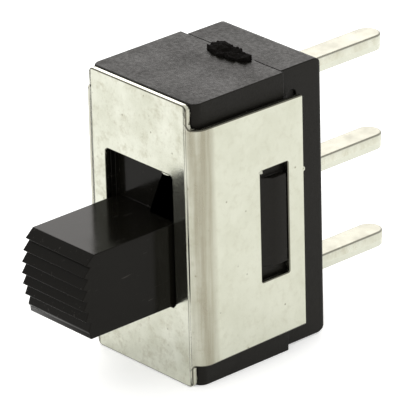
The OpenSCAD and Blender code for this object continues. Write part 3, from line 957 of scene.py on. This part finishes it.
class SWITCH_OT_terminals(bpy.types.Operator):
    """Stamps the three terminals, the middle one with a round ridge for the rocking contact"""
    bl_idname = "slide_switch.terminals"
    bl_label = "Terminals"

    def execute(self, context):
        settings = context.scene.slide_switch.terminal
        material = tinned_brass(settings)
        for node in ("terminal_upper", "terminal_centre", "terminal_lower"):
            mesh = stamped_blade(node, node == "terminal_centre", settings)
            place(mesh, node + "_blade", material, *home(node), node)
        return {"FINISHED"}


class SWITCH_OT_contacts(bpy.types.Operator):
    """Gives the plunger and the rocking contact their finishes"""
    bl_idname = "slide_switch.contacts"
    bl_label = "Plunger and contact"

    def execute(self, context):
        finishes = {
            "plunger": drawn_metal(
                "acetal turned natural", linear("#E2DCC8"), 0.42, 0.15, metallic=0.0),
            "rocker": drawn_metal("silver-plated bronze strip", linear("#E8E4D8"), 0.25, 0.2)}
        for node, material in finishes.items():
            frame["nodes"][node].material_slots[0].material = material
        return {"FINISHED"}


class SWITCH_OT_stage(bpy.types.Operator):
    """Sets up the pale floor, the white room, the soft light and the camera"""
    bl_idname = "slide_switch.stage"
    bl_label = "Stage"

    def execute(self, context):
        settings = context.scene.slide_switch.stage
        scene = context.scene
        half = settings.size / 2
        mesh = bpy.data.meshes.new("floor")
        mesh.from_pydata(
            [(x * half, y * half, FLOOR_Z) for x, y in ((-1, -1), (1, -1), (1, 1), (-1, 1))],
            [], [(0, 1, 2, 3)])
        mesh.materials.append(pale_floor(settings))
        floor = in_scene("floor", mesh)

        world = bpy.data.worlds.new("white room")
        world.use_nodes = True
        world.node_tree.nodes.clear()
        glow = add(world.node_tree, "ShaderNodeBackground", {
            "Color": (1, 1, 1, 1), "Strength": settings.world})
        add(world.node_tree, "ShaderNodeOutputWorld", {"Surface": glow})
        scene.world = world

        # The camera stands in front, to the right and above: places in millimetres, turns in degrees
        away, aside, raised, middle_y = 203.5425, 0.2849, 0.3069, 3
        azimuth, elevation, roll = (math.radians(a) for a in (48.772, 24.371, -1.5314))
        back = Vector((
            math.sin(azimuth) * math.cos(elevation), -math.cos(azimuth) * math.cos(elevation),
            math.sin(elevation)))
        level = Vector((math.cos(azimuth), math.sin(azimuth), 0))
        right = math.cos(roll) * level + math.sin(roll) * back.cross(level)
        upward = back.cross(right)
        aim = Vector((0, FRAME_LOW.y + middle_y * MM, 0))
        eye = aim + back * away * MM + right * aside * MM + upward * raised * MM
        data = bpy.data.cameras.new("camera")
        data.sensor_width = 36
        data.lens = 429.19
        data.clip_start, data.clip_end = 0.01, 10
        camera = in_scene("camera", data)
        camera.matrix_world = Matrix((
            (right.x, upward.x, back.x, eye.x), (right.y, upward.y, back.y, eye.y),
            (right.z, upward.z, back.z, eye.z), (0, 0, 0, 1)))
        scene.camera = camera

        # A broad soft panel behind the switch, which the tops mirror; sizes are metres
        distance = 0.6
        light = bpy.data.lights.new("back_panel", "AREA")
        light.shape, light.size, light.size_y = "RECTANGLE", 0.5, 0.3
        light.energy = settings.key
        light.color = (1, 0.965, 0.93)
        panel = in_scene("back_panel", light)
        behind = Vector((-back.x, -back.y, back.z))
        turn = behind.to_track_quat("Z", "Y").to_matrix().to_4x4()
        panel.matrix_world = Matrix.Translation(aim + behind * distance) @ turn
        panel.visible_camera = False
        scene.view_settings.view_transform = "Standard"
        return {"FINISHED"}


STEPS = ("stage", "housing", "frame", "slider", "spring", "terminals", "contacts")


class SWITCH_PT_panel(bpy.types.Panel):
    """Lists the pieces of the switch, with the sizes and colours of each"""
    bl_idname = "SWITCH_PT_panel"
    bl_label = "Slide switch"
    bl_space_type = "VIEW_3D"
    bl_region_type = "UI"
    bl_category = "Slide switch"

    def draw(self, context):
        settings = context.scene.slide_switch
        for step in STEPS:
            self.layout.operator("slide_switch." + step)
        for name in ("housing", "frame", "slider", "terminal", "spring", "stage"):
            box = self.layout.box()
            box.label(text=name.capitalize())
            group = getattr(settings, name)
            for prop in group.bl_rna.properties.keys():
                if prop not in ("rna_type", "name"):
                    box.prop(group, prop)


CLASSES = (
    HousingSettings, FrameSettings, SliderSettings, TerminalSettings, SpringSettings, StageSettings,
    SwitchSettings, SWITCH_OT_housing, SWITCH_OT_frame, SWITCH_OT_slider, SWITCH_OT_spring,
    SWITCH_OT_terminals, SWITCH_OT_contacts, SWITCH_OT_stage, SWITCH_PT_panel)


def register():
    for item in CLASSES:
        bpy.utils.register_class(item)
    bpy.types.Scene.slide_switch = bpy.props.PointerProperty(type=SwitchSettings)


def unregister():
    del bpy.types.Scene.slide_switch
    for item in reversed(CLASSES):
        bpy.utils.unregister_class(item)


def main():
    """Makes every piece."""
    register()
    for step in STEPS:
        getattr(bpy.ops.slide_switch, step)()


if __name__ == "__main__":
    main()
